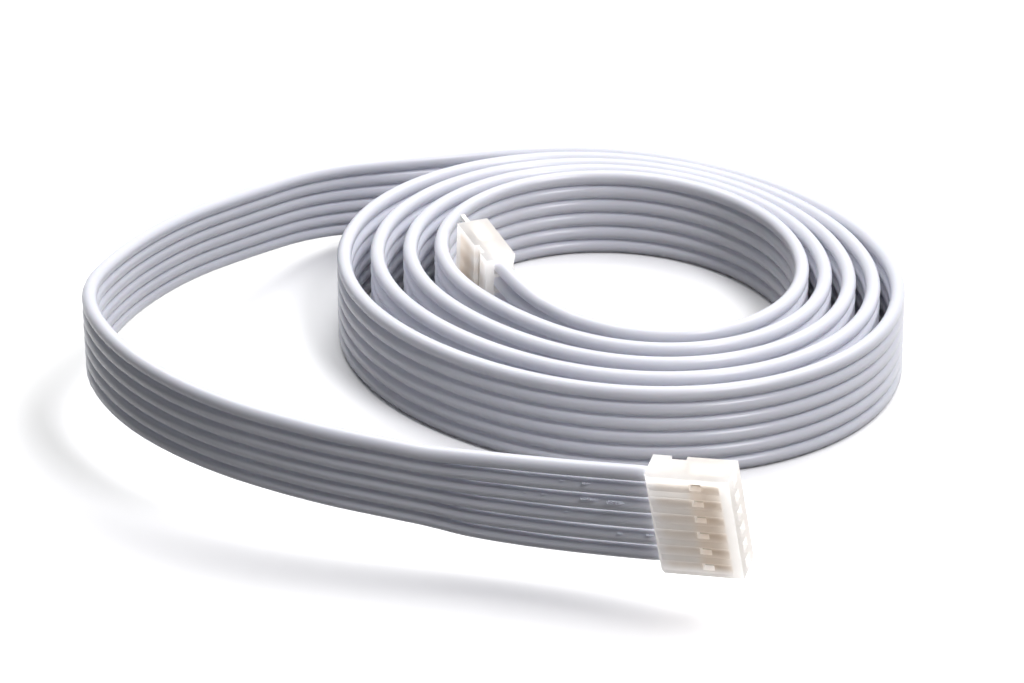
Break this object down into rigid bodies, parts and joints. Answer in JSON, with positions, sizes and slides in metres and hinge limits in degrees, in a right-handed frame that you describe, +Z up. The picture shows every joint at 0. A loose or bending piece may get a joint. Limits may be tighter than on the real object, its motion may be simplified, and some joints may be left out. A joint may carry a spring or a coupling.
{
  "type": "led strip extension cable",
  "caption": "Flat multi-core white extension cable wound on edge as a loose spiral coil, with a free loop ending in a row socket and a matching pin plug in the coil's hole.",
  "frame": {"origin": "on the surface, under the middle of the coil", "axes": "+Z up, the coil's axis; the free loop lies towards -X and -Y, and the socket points towards +X at the -Y side"},
  "size_m": [0.0877, 0.0946, 0.0175],
  "materials": {
    "insulation": "satin white PVC",
    "nylon": "natural nylon, slightly translucent",
    "tinned_contact": "tin-plated phosphor bronze",
    "copper": "stranded bare copper, bright"
  },
  "bodies": {
    "root": {"cable_coil": "insulation", "cable_loop": "insulation", "cable_lead": "insulation", "socket_housing": "nylon", "socket_contact_1": "tinned_contact", "socket_contact_2": "tinned_contact", "socket_contact_3": "tinned_contact", "socket_contact_4": "tinned_contact", "socket_contact_5": "tinned_contact", "socket_contact_6": "tinned_contact", "socket_core_1": "copper", "socket_core_2": "copper", "socket_core_3": "copper", "socket_core_4": "copper", "socket_core_5": "copper", "socket_core_6": "copper", "socket_wire_1": "insulation", "socket_wire_2": "insulation", "socket_wire_3": "insulation", "socket_wire_4": "insulation", "socket_wire_5": "insulation", "socket_wire_6": "insulation", "plug_housing": "nylon", "plug_contact_1": "tinned_contact", "plug_contact_2": "tinned_contact", "plug_contact_3": "tinned_contact", "plug_contact_4": "tinned_contact", "plug_contact_5": "tinned_contact", "plug_contact_6": "tinned_contact", "plug_core_1": "copper", "plug_core_2": "copper", "plug_core_3": "copper", "plug_core_4": "copper", "plug_core_5": "copper", "plug_core_6": "copper", "plug_wire_1": "insulation", "plug_wire_2": "insulation", "plug_wire_3": "insulation", "plug_wire_4": "insulation", "plug_wire_5": "insulation", "plug_wire_6": "insulation"}
  },
  "joints": []
}
